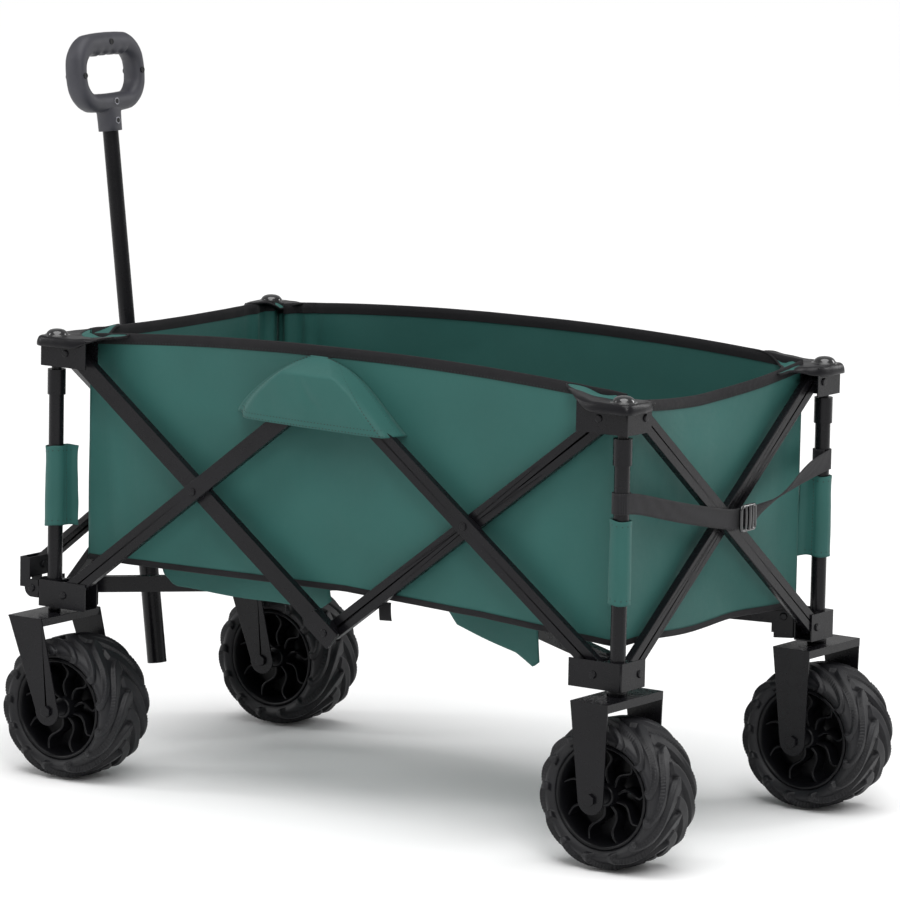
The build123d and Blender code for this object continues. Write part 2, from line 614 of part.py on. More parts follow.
def handle():
    low, high = along(-tube_below), along(tube_above)
    pipe = tube(low, high, tube_r, tube_wall)
    plug = rod(low - lean * 2, low, tube_r) + rod(low, low + lean * 10, tube_r - tube_wall)
    gap = link_thick / 2 + face_play
    wing = yoke_pivot_y + link_depth / 2
    half_high = link_depth / 2 + 3
    centre = Vector(yoke_x, 0, yoke_z)
    yoke = rod(centre - lean * half_high, centre + lean * half_high, tube_r + 2.5)
    for face in (gap, -gap - yoke_plate):
        yoke += block(yoke_x + face, yoke_x + face + yoke_plate, -wing, wing,
                      yoke_z - half_high, yoke_z + half_high)
    yoke -= rod(low, high, tube_r)
    bolts = []
    for way in (-1, 1):
        point = Vector(yoke_x, way * yoke_pivot_y, yoke_z)
        bolt = rivet(point, (1, 0, 0), -gap - yoke_plate, gap + yoke_plate)
        yoke -= bolt
        bolts.append(bolt)

    # collar with the release button, and the stem that slides through it
    collar_low = along(tube_above - collar_tube_high + collar_over)
    collar_high_end = along(tube_above + collar_over)
    collar = rod(collar_low, collar_high_end, collar_tube_r)
    collar -= rod(collar_low, high, tube_r)
    collar -= rod(high, collar_high_end, stem_r + slide_play)
    button_at = along(tube_above - collar_tube_high / 2 + collar_over, collar_tube_r)
    pocket_plane = Plane(origin=button_at, x_dir=(0, -1, 0), z_dir=Vector(-lean.Z, 0, lean.X))
    pocket_deep = collar_tube_r - tube_r
    pocket = Pos(0, 0, -pocket_deep / 2) * Box(12, 14, 2 * pocket_deep)
    collar -= pocket_plane * pocket
    play = 0.3
    proud = button_travel + 0.6
    high_button = proud + pocket_deep - button_travel - play - 0.6
    button = Pos(0, 0, proud - high_button / 2) * Box(12 - 2 * play, 14 - 2 * play, high_button)
    button = fillet(button.faces().sort_by(Axis.Z)[-1].edges(), 0.8)
    add("handle_tube", pipe, plug, yoke, collar, *bolts)
    add("handle_button", pocket_plane * button)

    stem_low, stem_high = along(tube_above - stem_held), along(stem_top)
    stem = tube(stem_low, stem_high, stem_r, stem_wall)
    guide_r = tube_r - tube_wall - slide_play
    ring = rod(stem_low, stem_low + lean * 14, guide_r) - rod(stem_low, stem_low + lean * 14, stem_r)
    add("handle_stem", stem + ring)

    # grip: a D ring in two shells, on a neck that clamps the stem
    base = Plane(origin=along(stem_top), x_dir=(0, -1, 0), z_dir=Vector(-lean.Z, 0, lean.X))
    ring_outline = RectangleRounded(grip_wide, grip_high, grip_round)
    gap_wide, gap_high = grip_wide - 2 * grip_side, grip_high - 2 * grip_bar
    hole = RectangleRounded(gap_wide, gap_high, grip_round - grip_side / 2)
    profile = Pos(0, grip_high / 2 - 4) * (ring_outline - hole)
    whole = extrude(profile, grip_thick / 2, both=True)
    whole = fillet(whole.faces().sort_by(Axis.Z)[-1].outer_wire().edges(), grip_edge)
    whole = fillet(whole.faces().sort_by(Axis.Z)[0].outer_wire().edges(), grip_edge)
    neck_from = along(stem_top - neck_high)
    whole = base * whole + rod(neck_from, along(stem_top + 6), neck_r)
    whole -= rod(neck_from - lean, along(stem_top), stem_r)
    cutter_low, cutter_high = -60, stem_top + grip_high + 20
    middle = (cutter_low + cutter_high) / 2
    half_plane = Plane(origin=along(middle), x_dir=(0, -1, 0), z_dir=Vector(-lean.Z, 0, lean.X))
    cutter = half_plane * Pos(0, 0, 50) * Box(400, cutter_high - cutter_low, 100)
    add("handle_grip", whole & cutter, whole - cutter)


# ---- fabric tub and strap -----------------------------------------------------------------
def tub():
    x0, x1 = -(half_long - front_wall_u), half_long - rear_wall_u
    y1 = half_wide - side_wall_v
    inner = y1 - fabric - soft_gap
    add("tub_left", block(x0, x1, -y1, -y1 + fabric, wall_low, wall_top))
    add("tub_right", block(x0, x1, y1 - fabric, y1, wall_low, wall_top))
    add("tub_front", block(x0, x0 + fabric, -inner, inner, wall_low, wall_top))
    add("tub_rear", block(x1 - fabric, x1, -inner, inner, wall_low, wall_top))
    edge = fabric + soft_gap
    add("tub_floor", block(x0 + edge, x1 - edge, -inner, inner, floor_z, floor_z + floor_thick))


def rear_strap():
    """Webbing from one rear post down to the crossing of the end bars and up to the other."""
    face_x = half_long - outer_layer + head_high + 1.0
    half = strap_wide / 2
    low, high = strap_post_z - half, strap_post_z + half
    edge = [(-half_wide, low), (0, strap_z - half), (half_wide, low),
            (half_wide, high), (0, strap_z + half), (-half_wide, high)]
    side = Plane(origin=(face_x, 0, 0), x_dir=(0, 1, 0), z_dir=(1, 0, 0))
    band = extrude(side * make_face(Polyline(*edge, close=True)), strap_thick)
    for way in (-1, 1):
        ring_in = post_r + soft_gap
        centre = (half_long, way * half_wide)
        loop = upright(*centre, low, high, ring_in + strap_thick)
        loop -= upright(*centre, low, high, ring_in)
        band += loop
        reach = block(half_long + ring_in, face_x + strap_thick, way * half_wide - 1,
                      way * half_wide + 1, low, high)
        band += reach
    add("rear_strap", band)
    mid_x = face_x + strap_thick + soft_gap
    plane = Plane(origin=(mid_x, buckle_y, buckle_z), x_dir=(0, 1, 0), z_dir=(1, 0, 0))
    frame = RectangleRounded(buckle_wide, buckle_high, 4.0)
    slot_wide, slot_high = 7.0, strap_wide + 1.0
    for way in (-1, 1):
        frame -= Pos(way * 9.0, 0) * Rectangle(slot_wide, slot_high)
    add("strap_buckle", extrude(plane * frame, buckle_thick))


# ---- the whole wagon ----------------------------------------------------------------------
def build():
    for side, sy in (("left", -1), ("right", 1)):
        side_bars(side, sy)
    for end, sx in (("front", -1), ("rear", 1)):
        end_bars(end, sx)
    for name in corners:
        lower_bracket(name)
        upper_bracket(name)
        outer_post(name)
        corner_cap(name)
        fork(name)
        floor_arm(name)
    floor_hub()
    for name in ("fl", "fr"):
        knuckle(name)
        handle_link(name)
    handle()
    tub()
    rear_strap()


def export():
    """Centre the model's box on the origin along X and write one STEP file for each node."""
    boxes = [solid.bounding_box() for solids in nodes.values() for solid in solids]
    centre_x = (min(b.min.X for b in boxes) + max(b.max.X for b in boxes)) / 2
    os.makedirs("parts", exist_ok=True)
    for name, solids in nodes.items():
        flat = [one for shape in solids for one in shape.solids()]
        moved = [one.moved(Location((-centre_x, 0, 0))) for one in flat]
        export_step(Compound(children=moved), f"parts/{name}.step")
    print("nodes", len(nodes), "centre_x", round(centre_x, 4))
    print("folded posts apart", 2 * (folded_run + pivot_inset), folded_run + 2 * pivot_inset)
    print("handle swing", swing_angle, "stem travel", stem_travel)


build()
export()
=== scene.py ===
"""Folding camp wagon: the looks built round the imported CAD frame.

Sizes here are in millimetres in the CAD frame and become metres where meshes are made.
+X runs from the handle end to the rear, +Y is the wagon's right, z = 0 is the ground.
"""

from math import atan2, cos, exp, hypot, pi, radians, sin

import bpy
import numpy as np
from mathutils import Matrix, Vector, noise


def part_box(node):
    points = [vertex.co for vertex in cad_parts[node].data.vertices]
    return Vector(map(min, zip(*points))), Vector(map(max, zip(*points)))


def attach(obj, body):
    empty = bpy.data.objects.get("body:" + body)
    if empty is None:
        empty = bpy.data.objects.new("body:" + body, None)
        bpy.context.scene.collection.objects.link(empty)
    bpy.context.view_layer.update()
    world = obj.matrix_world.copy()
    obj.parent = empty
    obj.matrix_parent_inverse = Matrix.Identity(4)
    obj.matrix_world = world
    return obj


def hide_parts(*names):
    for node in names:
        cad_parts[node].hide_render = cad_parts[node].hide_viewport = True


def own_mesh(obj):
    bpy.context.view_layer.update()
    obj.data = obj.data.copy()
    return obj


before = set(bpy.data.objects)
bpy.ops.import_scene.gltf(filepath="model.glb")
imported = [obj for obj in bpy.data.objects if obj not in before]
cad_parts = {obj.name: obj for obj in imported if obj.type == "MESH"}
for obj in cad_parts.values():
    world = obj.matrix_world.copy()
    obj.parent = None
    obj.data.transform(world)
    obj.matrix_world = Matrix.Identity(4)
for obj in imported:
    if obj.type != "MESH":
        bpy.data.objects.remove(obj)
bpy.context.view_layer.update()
MM = 0.001


# ---- the frame's sizes ----------------------------------------------------------------------
def box(node):
    """A CAD node's lowest and highest corners, in mm."""
    low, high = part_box(node)
    return np.array(low) / MM, np.array(high) / MM


def middle(node):
    low, high = box(node)
    return (low + high) / 2


CORNERS = ("fl", "fr", "rl", "rr")
POST = {c: middle(f"outer_post_{c}")[:2] for c in CORNERS}
INWARD = {c: (1 if c[0] == "f" else -1, 1 if c[1] == "l" else -1) for c in CORNERS}
X_FRONT = box("tub_front")[0][0]
X_REAR = box("tub_rear")[1][0]
Y_SIDE = box("tub_right")[1][1]
Z_FLOOR = box("tub_floor")[1][2]
Z_RIM = box("tub_left")[1][2]
X_MID = (POST["fl"][0] + POST["rl"][0]) / 2
CAP_LOW = box("corner_cap_rl")[0][2]


# ---- camera, light and floor ----------------------------------------------------------------
def look_from(name, data, place, forward, roll=0.0):
    f = Vector(forward).normalized()
    right = f.cross(Vector((0, 0, 1))).normalized()
    up = right.cross(f)
    r = cos(roll) * right + sin(roll) * up
    u = -sin(roll) * right + cos(roll) * up
    obj = bpy.data.objects.new(name, data)
    obj.matrix_world = Matrix((
        (r.x, u.x, -f.x, place[0]), (r.y, u.y, -f.y, place[1]),
        (r.z, u.z, -f.z, place[2]), (0, 0, 0, 1)))
    bpy.context.scene.collection.objects.link(obj)
    return obj


def set_camera():
    """The view that matches the photo; focal and picture_wide are in its pixels, away is in mm."""
    yaw, pitch, roll = 0.6075, 0.1547, 0.0194
    away, focal, picture_wide = 7718.3, 6202.66, 900
    target = Vector((21.1 + X_MID, 0, 431.4)) * MM
    f = Vector((-sin(yaw) * cos(pitch), cos(yaw) * cos(pitch), -sin(pitch)))
    data = bpy.data.cameras.new("camera")
    data.sensor_width = 36
    data.lens = focal / picture_wide * data.sensor_width
    data.clip_end = 100
    bpy.context.scene.camera = look_from("camera", data, target - f * away * MM, f, roll)


def area_light(name, place, aim, size, power):
    data = bpy.data.lights.new(name, "AREA")
    data.shape = "RECTANGLE"
    data.size, data.size_y = size
    data.energy = power
    look_from(name, data, place, Vector(aim) - Vector(place))


class Nodes:
    """A material's node tree, with short calls for what its shader needs."""

    def __init__(self, name, color, rough, metal=0.0, spec=0.5):
        self.mat = bpy.data.materials.new(name)
        self.mat.use_nodes = True
        self.tree = self.mat.node_tree
        self.tree.nodes.clear()
        self.out = self.tree.nodes.new("ShaderNodeOutputMaterial")
        self.shader = self.tree.nodes.new("ShaderNodeBsdfPrincipled")
        self.link(self.shader.outputs[0], self.out.inputs[0])
        self.set("Base Color", (*color, 1))
        self.set("Roughness", rough)
        self.set("Metallic", metal)
        self.set("Specular IOR Level", spec)
        self.coord = self.tree.nodes.new("ShaderNodeTexCoord").outputs["Object"]

    def set(self, name, value):
        self.shader.inputs[name].default_value = value

    def link(self, a, b):
        self.tree.links.new(a, b)

    def new(self, kind, **values):
        node = self.tree.nodes.new(kind)
        for key, value in values.items():
            if hasattr(node, key):
                setattr(node, key, value)
            else:
                node.inputs[key.replace("_", " ")].default_value = value
        return node

    def noise(self, scale, detail=3.0, rough=0.5, stretch=None):
        node = self.new("ShaderNodeTexNoise", Scale=scale, Detail=detail, Roughness=rough)
        self.link(self.mapped(stretch) if stretch else self.coord, node.inputs["Vector"])
        return node.outputs["Fac"]

    def mapped(self, stretch, turn=(0, 0, 0)):
        node = self.new("ShaderNodeMapping")
        node.inputs["Scale"].default_value = stretch
        node.inputs["Rotation"].default_value = turn
        self.link(self.coord, node.inputs["Vector"])
        return node.outputs["Vector"]

    def wave(self, scale, axis, distort=0.0, turn=(0, 0, 0), profile="SIN"):
        node = self.new("ShaderNodeTexWave", bands_direction=axis, wave_profile=profile)
        node.inputs["Scale"].default_value = scale
        node.inputs["Distortion"].default_value = distort
        node.inputs["Detail"].default_value = 1.0
        self.link(self.mapped((1, 1, 1), turn), node.inputs["Vector"])
        return node.outputs["Fac"]

    def math(self, kind, a, b):
        node = self.new("ShaderNodeMath", operation=kind)
        for i, v in enumerate((a, b)):
            if isinstance(v, (int, float)):
                node.inputs[i].default_value = v
            else:
                self.link(v, node.inputs[i])
        return node.outputs[0]

    def ramp(self, fac, stops):
        node = self.new("ShaderNodeValToRGB")
        ramp = node.color_ramp
        while len(ramp.elements) < len(stops):
            ramp.elements.new(0.5)
        for e, (place, color) in zip(ramp.elements, stops):
            e.position = place
            e.color = (*color, 1)
        self.link(fac, node.inputs["Fac"])
        return node.outputs["Color"]

    def color(self, fac, stops):
        self.link(self.ramp(fac, stops), self.shader.inputs["Base Color"])

    def rough(self, fac, low, high):
        node = self.new("ShaderNodeMapRange")
        node.inputs["To Min"].default_value = low
        node.inputs["To Max"].default_value = high
        self.link(fac, node.inputs["Value"])
        self.link(node.outputs[0], self.shader.inputs["Roughness"])

    def bump(self, height, distance, strength=1.0):
        node = self.new("ShaderNodeBump")
        node.inputs["Distance"].default_value = distance
        node.inputs["Strength"].default_value = strength
        if self.shader.inputs["Normal"].links:
            self.link(self.shader.inputs["Normal"].links[0].from_socket, node.inputs["Normal"])
        self.link(height, node.inputs["Height"])
        self.link(node.outputs[0], self.shader.inputs["Normal"])


def scaled(color, by):
    return tuple(c * by for c in color)


def make_materials():
    m = {}
    steel = (0.0052, 0.0050, 0.0062)
    n = Nodes("powder_coat", steel, 0.3, spec=0.2)
    n.color(n.noise(9, 4), [(0.3, scaled(steel, 0.8)), (0.7, scaled(steel, 1.35))])
    n.rough(n.noise(55, 4), 0.2, 0.34)
    n.bump(n.noise(1900, 2), 0.00008, 0.5)
    m["paint"] = n.mat

    gloss = (0.006, 0.006, 0.0072)
    n = Nodes("gloss_cap", gloss, 0.16, spec=0.6)
    n.rough(n.noise(40, 3), 0.12, 0.22)
    n.bump(n.noise(500, 2), 0.00003, 0.4)
    n.set("Coat Weight", 0.5)
    n.set("Coat Roughness", 0.08)
    m["cap"] = n.mat

    grip = (0.034, 0.034, 0.043)
    n = Nodes("grip_plastic", grip, 0.52)
    n.color(n.noise(22, 4), [(0.3, scaled(grip, 0.85)), (0.75, scaled(grip, 1.15))])
    n.rough(n.noise(80, 4), 0.44, 0.6)
    n.bump(n.noise(2600, 3), 0.00012, 0.7)
    m["grip"] = n.mat

    moulded = (0.006, 0.006, 0.0075)
    n = Nodes("moulded_plastic", moulded, 0.46, spec=0.22)
    n.rough(n.noise(60, 4), 0.38, 0.55)
    n.bump(n.noise(2200, 3), 0.0001, 0.6)
    m["plastic"] = n.mat

    n = Nodes("rim_plastic", (0.004, 0.004, 0.005), 0.34, spec=0.2)
    n.rough(n.noise(45, 3), 0.26, 0.42)
    n.bump(n.noise(900, 2), 0.00005, 0.4)
    m["rim"] = n.mat

    rubber = (0.0068, 0.0068, 0.0085)
    n = Nodes("tyre_rubber", rubber, 0.46, spec=0.36)
    n.color(n.noise(16, 5), [(0.3, scaled(rubber, 0.75)), (0.75, scaled(rubber, 1.4))])
    n.rough(n.noise(34, 5), 0.4, 0.62)
    n.bump(n.noise(1300, 3), 0.00015, 0.6)
    m["rubber"] = n.mat

    bright = (0.22, 0.22, 0.24)
    n = Nodes("dark_screw", bright, 0.3, metal=0.8)
    n.rough(n.noise(300, 2), 0.22, 0.4)
    m["screw"] = n.mat

    green = (0.0185, 0.099, 0.087)
    n = Nodes("tub_cloth", green, 0.62, spec=0.35)
    patches = n.noise(5.5, 3)
    n.color(patches, [(0.25, scaled(green, 0.86)), (0.75, scaled(green, 1.12))])
    n.rough(n.noise(120, 3), 0.55, 0.7)
    n.set("Sheen Weight", 0.08)
    n.set("Sheen Roughness", 0.45)
    n.set("Sheen Tint", (0.75, 0.95, 0.9, 1))
    weave = n.math("ADD", n.math("ADD", n.wave(330, "X", 0.6), n.wave(330, "Y", 0.6)),
                   n.wave(330, "Z", 0.6))
    n.bump(weave, 0.00012, 0.45)
    n.bump(n.noise(26, 4), 0.0012, 0.25)
    m["cloth"] = n.mat

    band = (0.0085, 0.008, 0.0098)
    n = Nodes("black_webbing", band, 0.78, spec=0.3)
    ribs = n.math("ADD", n.wave(190, "X"), n.math("ADD", n.wave(190, "Y"), n.wave(260, "Z")))
    n.color(n.math("MULTIPLY", ribs, 0.33), [(0.2, scaled(band, 0.6)), (0.85, scaled(band, 1.7))])
    n.rough(n.noise(90, 3), 0.7, 0.88)
    n.set("Sheen Weight", 0.08)
    n.bump(ribs, 0.00035, 0.8)
    m["webbing"] = n.mat

    n = Nodes("binding_tape", (0.0065, 0.006, 0.0075), 0.66, spec=0.25)
    n.rough(n.noise(70, 3), 0.6, 0.8)
    n.set("Sheen Weight", 0.04)
    n.bump(n.math("ADD", n.wave(420, "X"), n.wave(420, "Z")), 0.0002, 0.6)
    m["binding"] = n.mat

    n = Nodes("black_vinyl", (0.0048, 0.0046, 0.006), 0.3, spec=0.26)
    n.rough(n.noise(50, 4), 0.24, 0.42)
    grain = n.new("ShaderNodeTexVoronoi", Scale=900.0)
    n.link(n.coord, grain.inputs["Vector"])
    n.bump(grain.outputs["Distance"], 0.00015, 0.5)
    n.bump(n.noise(60, 4), 0.0012, 0.35)
    m["vinyl"] = n.mat

    n = Nodes("thread", (0.012, 0.022, 0.02), 0.7)
    n.bump(n.wave(900, "DIAGONAL"), 0.0001, 0.6)
    m["thread"] = n.mat

    n = Nodes("hook_strip", (0.012, 0.012, 0.013), 0.9, spec=0.2)
    n.bump(n.noise(1500, 2), 0.0006, 1.0)
    m["hook"] = n.mat

    n = Nodes("studio_floor", (0.93, 0.93, 0.93), 0.9, spec=0.1)
    n.bump(n.noise(8, 3), 0.0005, 0.1)
    m["floor"] = n.mat
    return m


MAT = make_materials()


# ---- mesh helpers ---------------------------------------------------------------------------
def place(name, verts, faces, mats, face_mats=None, smooth=True, body=None, slot=None):
    """A mesh object from points in mm. mats is one material or several."""
    mats = mats if isinstance(mats, (list, tuple)) else [mats]
    mesh = bpy.data.meshes.new(name)
    mesh.from_pydata((np.asarray(verts, float) * MM).tolist(), [], faces)
    for mat in mats:
        mesh.materials.append(MAT[mat])
    if face_mats is not None:
        mesh.polygons.foreach_set("material_index", face_mats)
    mesh.polygons.foreach_set("use_smooth", [smooth] * len(mesh.polygons))
    mesh.update()
    obj = bpy.data.objects.new(name, mesh)
    bpy.context.scene.collection.objects.link(obj)
    if body:
        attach(obj, body)
    return obj


def grid_faces(rows, cols, close_rows=False, close_cols=False, start=0):
    faces = []
    for i in range(rows if close_rows else rows - 1):
        for j in range(cols if close_cols else cols - 1):
            a, b = i, (i + 1) % rows
            c, d = j, (j + 1) % cols
            faces.append([start + a * cols + c, start + b * cols + c,
                          start + b * cols + d, start + a * cols + d])
    return faces


class Shape:
    """Points and faces gathered from several parts, each with a material number."""

    def __init__(self):
        self.verts, self.faces, self.mats = [], [], []

    def grid(self, points, mat=0, close_rows=False, close_cols=False, caps=False):
        points = np.asarray(points, float)
        rows, cols = points.shape[:2]
        start = len(self.verts)
        self.verts.extend(points.reshape(-1, 3).tolist())
        new = grid_faces(rows, cols, close_rows, close_cols, start)
        if caps:
            new.append([start + j for j in range(cols)][::-1])
            new.append([start + (rows - 1) * cols + j for j in range(cols)])
        self.faces.extend(new)
        self.mats.extend([mat] * len(new))

    def dashes(self, line, mat, long=3.2, gap=1.6, wide=0.8, normal=(0, -1, 0), lift=0.5):
        """A row of stitches along a line of points, lying on the cloth."""
        line = np.asarray(line, float)
        steps = np.linalg.norm(np.diff(line, axis=0), axis=1)
        along = np.concatenate([[0], np.cumsum(steps)])
        n = np.asarray(normal, float)
        at = gap
        while at + long < along[-1]:
            ends = [np.array([np.interp(s, along, line[:, k]) for k in range(3)])
                    for s in (at, at + long / 2, at + long)]
            t = ends[2] - ends[0]
            t /= max(np.linalg.norm(t), 1e-9)
            side = np.cross(t, n)
            side *= wide / 2 / max(np.linalg.norm(side), 1e-9)
            rings = []
            for p, high, w in ((ends[0], -0.2, 0.5), (ends[1], lift, 1.0), (ends[2], -0.2, 0.5)):
                rings.append([p - side * w + n * (high - 0.3), p + n * high,
                              p + side * w + n * (high - 0.3)])
            self.grid(rings, mat)
            at += long + gap

    def place(self, name, mats, **kw):
        return place(name, self.verts, self.faces, mats, self.mats, **kw)


def add_modifier(obj, kind, **values):
    mod = obj.modifiers.new(kind.lower(), kind)
    for key, value in values.items():
        setattr(mod, key, value)
    return mod


def thicken(obj, mm, offset=0.0):
    add_modifier(obj, "SOLIDIFY", thickness=mm * MM, offset=offset)
    return obj


def tube_line(line, radius, sides=10):
    """Rings of points round a line, for a tube."""
    line = np.asarray(line, float)
    tangents = np.gradient(line, axis=0)
    tangents /= np.maximum(np.linalg.norm(tangents, axis=1, keepdims=True), 1e-9)
    up = np.array([0.0, 0.0, 1.0])
    if abs(tangents[0] @ up) > 0.9:
        up = np.array([1.0, 0.0, 0.0])
    rings = []
    for p, t in zip(line, tangents):
        a = np.cross(t, up)
        a /= max(np.linalg.norm(a), 1e-9)
        b = np.cross(t, a)
        rings.append([p + radius * (cos(w) * a + sin(w) * b)
                      for w in np.linspace(0, 2 * pi, sides, endpoint=False)])
    return np.array(rings)


def smooth_line(points, count):
    """A Catmull-Rom line through points, evenly sampled."""
    p = np.asarray(points, float)
    p = np.vstack([2 * p[0] - p[1], p, 2 * p[-1] - p[-2]])
    out = []
    for i in range(1, len(p) - 2):
        for t in np.linspace(0, 1, 24, endpoint=False):
            out.append(0.5 * (2 * p[i] + (p[i + 1] - p[i - 1]) * t
                              + (2 * p[i - 1] - 5 * p[i] + 4 * p[i + 1] - p[i + 2]) * t ** 2
                              + (3 * p[i] - p[i - 1] - 3 * p[i + 1] + p[i + 2]) * t ** 3))
    out.append(p[-2])
    out = np.array(out)
    along = np.concatenate([[0], np.cumsum(np.linalg.norm(np.diff(out, axis=0), axis=1))])
    s = np.linspace(0, along[-1], count)
    return np.stack([np.interp(s, along, out[:, k]) for k in range(3)], axis=1)


def ease(t):
    t = np.clip(t, 0, 1)
    return t * t * (3 - 2 * t)


def rough_at(x, y, z, size, seed=0.0):
    """Smooth noise from -1 to 1 at a point in mm."""
    return noise.noise(Vector((x / size + seed, y / size, z / size)))


def hump(x, centre, width):
    return np.exp(-((x - centre) / width) ** 2)


# ---- CAD pieces -------------------------------------------------------------------------------
PLASTIC = ("handle_button", "knuckle", "floor_hub")
FOLDED_STEEL = ("side_bar", "end_bar", "lower_bracket", "upper_bracket", "fork", "handle_link")


def finish_cad():
    """Gives each CAD piece its material, and the steel ones a fine edge."""
    for name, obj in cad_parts.items():
        kind = "plastic" if name.startswith(PLASTIC) else "paint"
        if name.startswith(FOLDED_STEEL):
            add_modifier(obj, "WELD", merge_threshold=0.00001)
            add_modifier(obj, "BEVEL", width=0.0009, segments=2, limit_method="ANGLE",
                         angle_limit=radians(50), harden_normals=True)
        for i in range(max(1, len(obj.data.materials))):
            if len(obj.data.materials) <= i:
                obj.data.materials.append(MAT[kind])
            else:
                obj.data.materials[i] = MAT[kind]


# ---- wheels ---------------------------------------------------------------------------------
def tyre_mesh():
    """The balloon tyre with its curved chevron lugs, round the Y axis."""
    around, across = 576, 88
    crown, side, bead, mouth = 83.7, 43.0, 63.6, 37.5
    half = [(bead, mouth - 1.5), (bead + 2.2, mouth + 1.6), (bead + 6, side - 1.2), (bead + 10.5, side),
            (bead + 15, side - 3.5), (bead + 18.3, side - 10), (crown - 1.4, side - 19),
            (crown - 0.3, side - 31), (crown, 0)]
    right = [(r, y, 0) for r, y in half]
    left = [(r, -y, 0) for r, y in half[:-1]][::-1]
    profile = smooth_line(right + left, across)[:, :2]
    turn = np.gradient(profile, axis=0)
    outward = np.stack([-turn[:, 1], turn[:, 0]], axis=1)
    outward /= np.linalg.norm(outward, axis=1, keepdims=True)
    lugs, high = 13, 6.2
    pitch = 2 * pi / lugs
    verts = np.zeros((around, across, 3))
    for i in range(around):
        a = 2 * pi * i / around
        for j in range(across):
            r, y = profile[j]
            w = abs(y) / side
            best = 0.0
            for way in (1, -1):
                reach = (way * y + 5) / (side + 5)
                if reach < 0 or r < bead + 5:
                    continue
                centre = -1.05 * reach ** 1.7 + (0.5 * pitch if way < 0 else 0)
                off = (a - centre + pitch / 2) % pitch - pitch / 2
                wide = 0.085 + 0.05 * sin(pi * min(1, reach))
                wide *= 1 if reach < 0.8 else 1 - 1.6 * (reach - 0.8)
                edge = ease((wide - abs(off)) / 0.013 + 0.5)
                tip = ease(reach / 0.03) * ease((r - bead - 4) / 4.0)
                lean = 0.72 + 0.28 * ease((off + wide) / (2 * wide + 1e-9))
                best = max(best, float(edge * tip * lean))
            rr = r + outward[j, 0] * best * high
            yy = y + outward[j, 1] * best * high
            rr += 0.25 * rough_at(rr * cos(a), yy, rr * sin(a), 30) * (w < 0.9)
            verts[i, j] = (rr * cos(a), yy, rr * sin(a))
    shape = Shape()
    shape.grid(verts[:, ::-1], close_rows=True)
    inner = np.array([[(bead * cos(a), y, bead * sin(a)) for y in (-mouth + 1.5, mouth - 1.5)]
                      for a in np.linspace(0, 2 * pi, around, endpoint=False)])
    shape.grid(inner, close_rows=True)
    return shape


def rim_mesh():
    """The deep rim: lip, barrel, web and S-shaped spokes on both faces, round the Y axis."""
    shape = Shape()
    section = [(62.5, 33), (64.2, 36.2), (63.6, 38.6), (61.6, 39.4), (59.8, 38.4), (58.9, 35.5),
               (57.6, 33.5), (56.4, 24), (55.2, 12), (54.2, 5), (50, 3.4), (30, 3.0), (17, 3.6),
               (15, 8), (14.4, 20), (13.4, 30), (11.8, 31.8), (9, 32), (8.6, 31.4), (8.4, 57.4),
               (4.3, 57.6)]
    turns = 96
    for way in (1, -1):
        rows = []
        for a in np.linspace(0, 2 * pi, turns, endpoint=False):
            rows.append([(r * cos(a), way * y, r * sin(a)) for r, y in section][::way])
        shape.grid(rows, close_rows=True)
    seat, half_wide = section[0]
    outer = [[(seat * cos(a), y, seat * sin(a)) for y in (half_wide, -half_wide)]
             for a in np.linspace(0, 2 * pi, turns, endpoint=False)]
    shape.grid(outer, close_rows=True)
    spokes, hub_radius, spoke_long = 9, 13.5, 43.5
    for way in (1, -1):
        for k in range(spokes):
            base = 2 * pi * (k + (0.25 if way < 0 else 0)) / spokes
            rows = []
            for t in np.linspace(0, 1, 22):
                r = hub_radius + spoke_long * t
                a = base + 0.17 * sin(2 * pi * t) * (1 - 0.3 * t)
                thick = 1.9 / r
                top = 22 + 9 * t - 3 * sin(pi * t)
                ring = []
                for da, y in ((-1.3, 2.8), (-1.0, top - 1.2), (-0.55, top),
                              (0.55, top), (1.0, top - 1.2), (1.3, 2.8)):
                    w = a + da * thick
                    ring.append((r * cos(w), way * y, r * sin(w)))
                rows.append(ring[::way])
            shape.grid(rows)
    return shape


def make_wheels():
    tyre, rim = tyre_mesh(), rim_mesh()
    for c in CORNERS:
        centre = middle(f"tyre_{c}")
        for kind, shape, mat, slot in (("tyre", tyre, "rubber", "tyre"),
                                       ("rim", rim, "rim", "rim_plastic")):
            made = Shape()
            made.verts = (np.array(shape.verts) + centre).tolist()
            made.faces, made.mats = shape.faces, shape.mats
            obj = made.place(f"wheel_{kind}_{c}", mat, body=f"wheel_{c}", slot=slot)
            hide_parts(f"{kind}_{c}")


# ---- handle grip ----------------------------------------------------------------------------
LEAN = radians(7.15)
AXIS_UP = np.array([-sin(LEAN), 0, cos(LEAN)])
AXIS_OUT = np.array([-cos(LEAN), 0, -sin(LEAN)])


def grip_frame():
    """The point where the grip's ring starts on the stem, from the grip's CAD box."""
    low, high = box("handle_grip")
    mid_x = (low[0] + high[0]) / 2
    mid_z = (low[2] + high[2]) / 2
    grip_long, ring_tall = 127, 99.5
    ring_top = np.array([mid_x, 0, mid_z]) + AXIS_UP * (grip_long / 2)
    return ring_top - AXIS_UP * ring_tall


def superellipse(w, a, b, n):
    c, s = cos(w), sin(w)
    return (abs(c) ** (2 / n) * a * (1 if c > 0 else -1),
            abs(s) ** (2 / n) * b * (1 if s > 0 else -1))


def oval(w, a, b, r):
    """A rounded rectangle's point at angle w, with half sizes a and b and corner radius r."""
    c, s = cos(w), sin(w)
    return (a - r) * max(-1, min(1, c / 0.3)) + r * c, (b - r) * max(-1, min(1, s / 0.3)) + r * s


